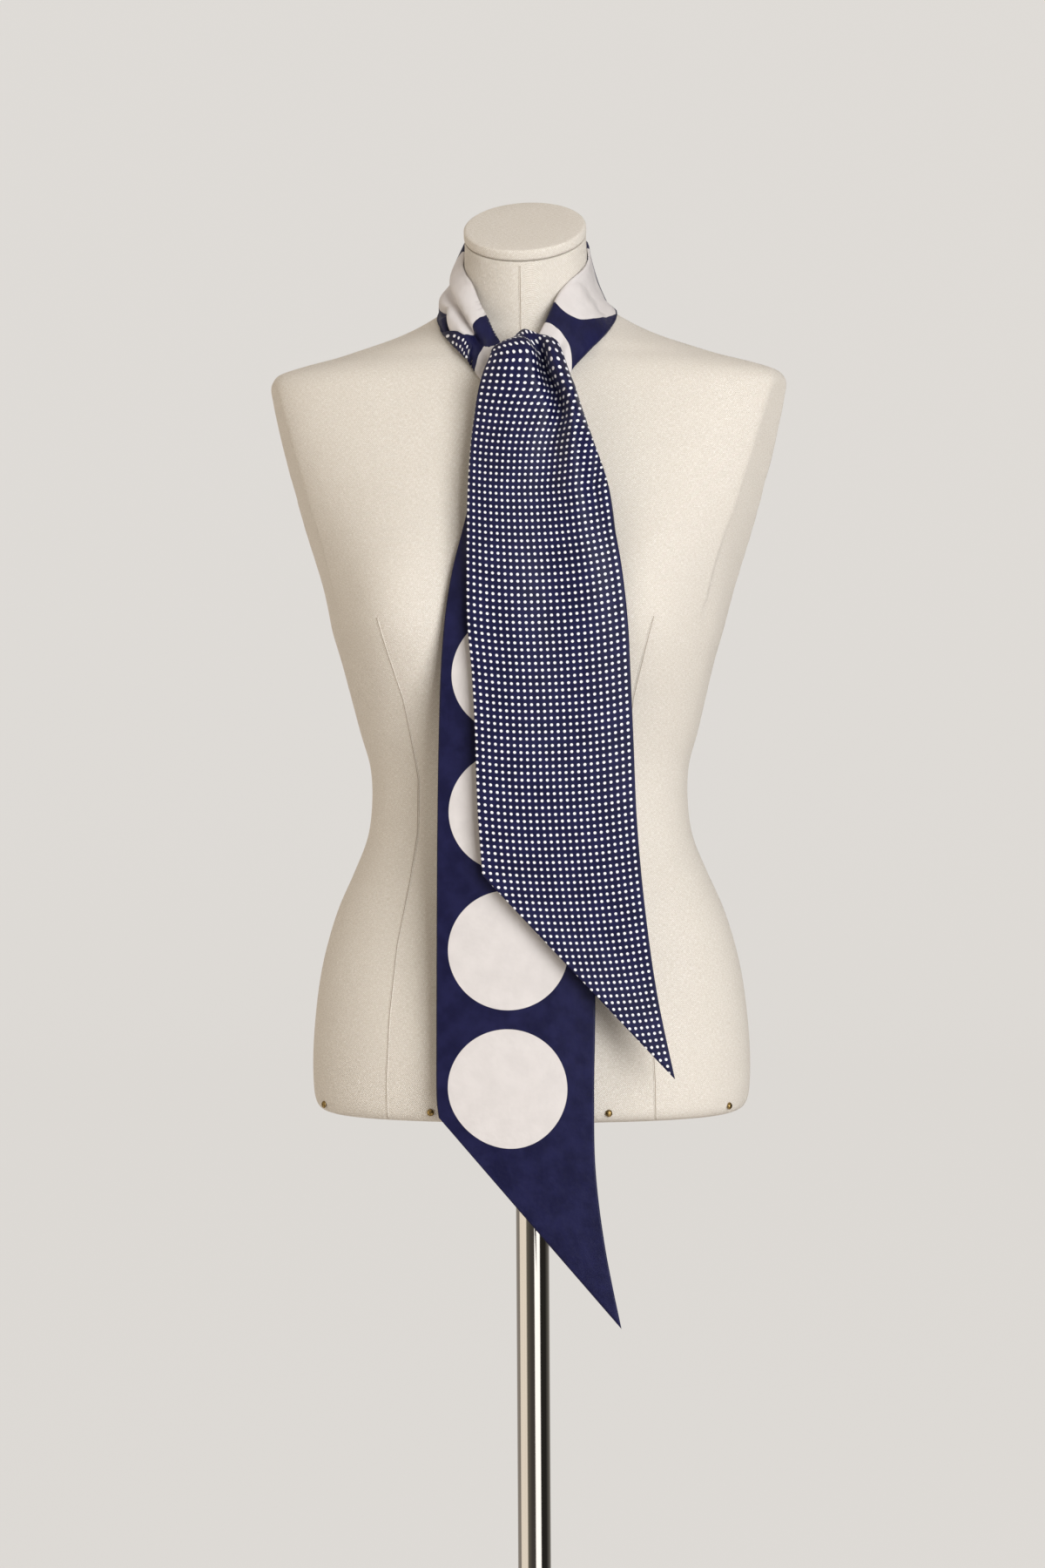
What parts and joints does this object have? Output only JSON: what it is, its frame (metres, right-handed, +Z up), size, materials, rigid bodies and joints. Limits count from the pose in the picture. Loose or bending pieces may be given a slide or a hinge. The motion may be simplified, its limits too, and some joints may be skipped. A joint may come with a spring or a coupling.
{
  "type": "scarf on a limbless dress form with a pole stand",
  "caption": "Long narrow silk scarf with slanted ends, tied in a loose drop knot round the neck of a limbless linen dress form on a steel pole stand.",
  "frame": {"origin": "on the floor under the pole, at the middle of the round base plate's underside", "axes": "+Z up along the pole, -Y to the front of the form, +X to the wearer's left"},
  "size_m": [0.4056, 0.38, 1.5347],
  "materials": {
    "silk_circles": "navy silk twill with large off-white coin dots, soft sheen",
    "silk_dots": "navy silk twill with white pin dots, soft sheen",
    "linen": "natural off-white linen cover, fine weave, matte",
    "nail_brass": "small domed nails, slightly dulled",
    "steel": "brushed along its length, satin"
  },
  "bodies": {
    "root": {"scarf_knot": "silk_dots", "scarf_tail_front": "silk_dots", "scarf_neck_left": "silk_circles", "scarf_neck_back": "silk_circles", "scarf_neck_right": "silk_circles", "scarf_tail_back": "silk_circles", "form_torso": "linen", "form_neck_cap": "linen", "form_nail_1": "nail_brass", "form_nail_2": "nail_brass", "form_nail_3": "nail_brass", "form_nail_4": "nail_brass", "form_nail_5": "nail_brass", "form_nail_6": "nail_brass", "form_nail_7": "nail_brass", "form_nail_8": "nail_brass", "stand_socket": "steel", "stand_pole": "steel", "stand_base": "steel"}
  },
  "joints": []
}
